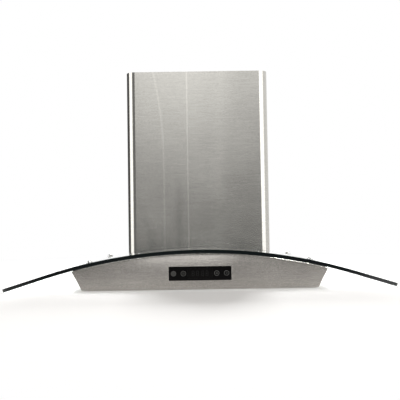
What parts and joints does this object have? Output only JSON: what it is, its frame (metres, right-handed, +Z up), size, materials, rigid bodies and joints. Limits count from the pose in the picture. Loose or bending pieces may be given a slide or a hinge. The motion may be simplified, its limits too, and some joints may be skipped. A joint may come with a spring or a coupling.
{
  "type": "range hood",
  "caption": "Wall range hood with an arched glass canopy, brushed steel body and telescoping chimney, with a blower, lift-out baffle filters, lamps and push buttons",
  "frame": {"origin": "middle of the four wall holes in the back of the blower housing, on the wall plane", "axes": "+Z up, +Y into the wall, so the front of the hood looks towards -Y, and +X to the right seen from the front"},
  "size_m": [0.8976, 0.5, 0.5457],
  "materials": {
    "brushed_steel_skin": "stainless steel sheet, brushed across",
    "steel_sheet": "plain stainless sheet",
    "tempered_glass": "tempered glass, 8 mm, polished edge",
    "display_lens": "smoked clear plastic",
    "frosted_lens": "frosted glass",
    "black_rubber": "soft black rubber",
    "chromed_metal": "polished",
    "black_gloss_plastic": "glossy black",
    "button_plastic": "satin black with a light ring",
    "black_plastic": "moulded, fine grain",
    "circuit_board": "green board",
    "grey_plastic": "moulded, fine grain",
    "galvanised_sheet": "zinc coated steel sheet",
    "plain_steel": "zinc plated steel",
    "motor_body": "pressed steel shell, dark paint",
    "filter_steel": "folded stainless sheet",
    "satin_ring": "satin nickel",
    "cast_aluminium": "bare casting"
  },
  "bodies": {
    "hood": {"blower_housing": "galvanised_sheet", "blower_scroll": "black_plastic", "cable_gland": "black_plastic", "capacitor": "black_plastic", "centre_rail": "steel_sheet", "chimney_clip_left": "galvanised_sheet", "chimney_clip_right": "galvanised_sheet", "chimney_screws": "plain_steel", "collar_screws": "plain_steel", "control_bezel": "brushed_steel_skin", "control_board": "circuit_board", "control_box": "black_plastic", "control_panel": "black_gloss_plastic", "deck_screws": "plain_steel", "display_window": "display_lens", "duct_collar": "grey_plastic", "flap_pins": "plain_steel", "glass_canopy": "tempered_glass", "glass_gasket": "black_rubber", "glass_screws": "chromed_metal", "glass_washers": "chromed_metal", "hood_shell": "brushed_steel_skin", "inlet_ring": "black_plastic", "lamp_bezel_left": "satin_ring", "lamp_bezel_right": "satin_ring", "lamp_lens_left": "frosted_lens", "lamp_lens_right": "frosted_lens", "lamp_sink_left": "cast_aluminium", "lamp_sink_right": "cast_aluminium", "light_panel": "steel_sheet", "lower_chimney": "brushed_steel_skin", "motor": "motor_body", "motor_grommets": "black_rubber", "motor_screws": "plain_steel", "motor_spider": "galvanised_sheet", "rear_panel": "steel_sheet", "rear_rail": "steel_sheet", "side_rail_left": "steel_sheet", "side_rail_right": "steel_sheet", "top_deck": "steel_sheet", "wiring_box": "black_plastic", "wiring_lid": "black_plastic"},
    "telescoping_chimney": {"upper_chimney": "brushed_steel_skin", "chimney_bracket": "galvanised_sheet"},
    "fan_rotor": {"impeller": "grey_plastic", "fan_shaft": "plain_steel"},
    "left_damper": {"damper_flap_left": "grey_plastic"},
    "right_damper": {"damper_flap_right": "grey_plastic"},
    "power_key": {"button_power": "button_plastic"},
    "timer_key": {"button_timer": "button_plastic"},
    "speed_key": {"button_speed": "button_plastic"},
    "light_key": {"button_light": "button_plastic"},
    "left_filter": {"filter_frame_left": "filter_steel", "filter_baffles_left": "filter_steel", "filter_handle_left": "plain_steel"},
    "right_filter": {"filter_frame_right": "filter_steel", "filter_baffles_right": "filter_steel", "filter_handle_right": "plain_steel"}
  },
  "joints": [
    {"name": "chimney_slide", "type": "slide", "parent": "hood", "child": "telescoping_chimney", "axis": [0, 0, 1], "range_m": [0, 0.36]},
    {"name": "fan_spin", "type": "hinge", "parent": "hood", "child": "fan_rotor", "pos_m": [-0.054, -0.125, -0.025], "axis": [0, 1, 0], "continuous": true},
    {"name": "left_damper_hinge", "type": "hinge", "parent": "hood", "child": "left_damper", "pos_m": [-0.005, -0.125, 0.1521], "axis": [0, 1, 0], "range_deg": [0, 78]},
    {"name": "right_damper_hinge", "type": "hinge", "parent": "hood", "child": "right_damper", "pos_m": [0.005, -0.125, 0.1521], "axis": [0, -1, 0], "range_deg": [0, 78]},
    {"name": "power_press", "type": "slide", "parent": "hood", "child": "power_key", "axis": [0, 1, 0], "range_m": [0, 0.001], "stiffness_N_per_m": 800, "springref_m": -0.0005},
    {"name": "timer_press", "type": "slide", "parent": "hood", "child": "timer_key", "axis": [0, 1, 0], "range_m": [0, 0.001], "stiffness_N_per_m": 800, "springref_m": -0.0005},
    {"name": "speed_press", "type": "slide", "parent": "hood", "child": "speed_key", "axis": [0, 1, 0], "range_m": [0, 0.001], "stiffness_N_per_m": 800, "springref_m": -0.0005},
    {"name": "light_press", "type": "slide", "parent": "hood", "child": "light_key", "axis": [0, 1, 0], "range_m": [0, 0.001], "stiffness_N_per_m": 800, "springref_m": -0.0005},
    {"name": "left_filter_lift", "type": "slide", "parent": "hood", "child": "left_filter", "axis": [0, 0, 1], "range_m": [0, 0.016]},
    {"name": "right_filter_lift", "type": "slide", "parent": "hood", "child": "right_filter", "axis": [0, 0, 1], "range_m": [0, 0.016]}
  ]
}
